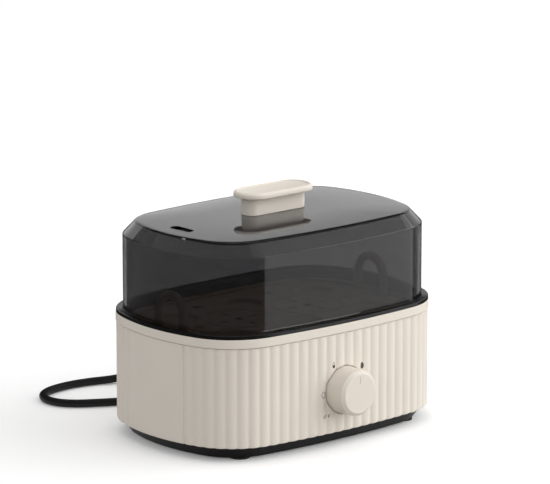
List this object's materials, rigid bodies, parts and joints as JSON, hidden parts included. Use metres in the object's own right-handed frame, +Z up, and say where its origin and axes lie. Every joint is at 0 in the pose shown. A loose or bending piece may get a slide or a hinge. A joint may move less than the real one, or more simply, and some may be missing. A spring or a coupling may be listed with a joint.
{
  "type": "electric egg cooker",
  "caption": "Reeded cream countertop egg steamer with a rotary doneness knob, heated water pan, lift-out egg tray with loop handles, and a smoked lift-off lid with a bar handle.",
  "frame": {"origin": "on the floor under the middle of the housing, at the bottom centre of the box round the appliance without its free cord", "axes": "+Z up, +X along the housing's length to the right seen from the knob side, the knob on the -Y side"},
  "size_m": [0.282, 0.2595, 0.1695],
  "materials": {
    "cream_plastic": "satin, warm cream",
    "black_plastic": "satin black",
    "smoked_lid": "clear smoked, polished",
    "tray_plastic": "brown, satin",
    "foot_rubber": "matt",
    "coated_pan": "dark non-stick coating on sheet",
    "silicone": "matt",
    "steel": "plated",
    "element_sheath": "dull",
    "brass": "plated, bright",
    "pale_insulation": "matt",
    "switch_plastic": "matt",
    "cord_rubber": "satin black",
    "tie_plastic": "matt",
    "core_insulation": "matt",
    "wire_brown": "matt",
    "wire_black": "matt",
    "wire_blue": "matt",
    "wire_green": "matt"
  },
  "bodies": {
    "cooker": {"outer_housing": "cream_plastic", "bottom_base": "black_plastic", "rubber_feet": "foot_rubber", "base_screws": "steel", "rim_ring": "black_plastic", "heating_pan": "coated_pan", "pan_seal": "silicone", "pan_screws": "steel", "heating_element": "element_sheath", "element_pins": "steel", "element_clamps": "steel", "clamp_nuts": "steel", "thermostat": "pale_insulation", "thermostat_nuts": "brass", "thermal_fuse": "pale_insulation", "fuse_clip": "steel", "earth_lug": "brass", "earth_nut": "steel", "control_switch": "switch_plastic", "switch_nut": "steel", "terminal_block": "pale_insulation", "block_screws": "steel", "inner_lead": "cord_rubber", "lead_cores": "core_insulation", "cord_clamp": "pale_insulation", "cord_clamp_screws": "steel", "wire_line": "wire_brown", "wire_switched": "wire_black", "wire_link": "wire_black", "wire_return": "wire_brown", "wire_neutral": "wire_blue", "wire_earth": "wire_green", "strain_relief": "cord_rubber", "power_cord": "cord_rubber", "cord_coil": "cord_rubber", "cord_tail": "cord_rubber", "cord_tie": "tie_plastic", "plug_body": "cord_rubber", "plug_pins": "brass"},
    "knob": {"control_knob": "cream_plastic", "control_shaft": "steel"},
    "lid": {"lid_shell": "smoked_lid", "handle_post": "cream_plastic", "handle_cap": "cream_plastic", "handle_screws": "steel"},
    "tray": {"egg_tray": "tray_plastic", "tray_loop_left": "tray_plastic", "tray_loop_right": "tray_plastic"}
  },
  "joints": [
    {"name": "knob_turn", "type": "hinge", "parent": "cooker", "child": "knob", "pos_m": [0, -0.085, 0.0393], "axis": [0, -1, 0], "range_deg": [-48, 135]},
    {"name": "lid_lift", "type": "slide", "parent": "cooker", "child": "lid", "axis": [0, 0, 1], "range_m": [0, 0.1]},
    {"name": "tray_lift", "type": "slide", "parent": "cooker", "child": "tray", "axis": [0, 0, 1], "range_m": [0, 0.03]}
  ]
}
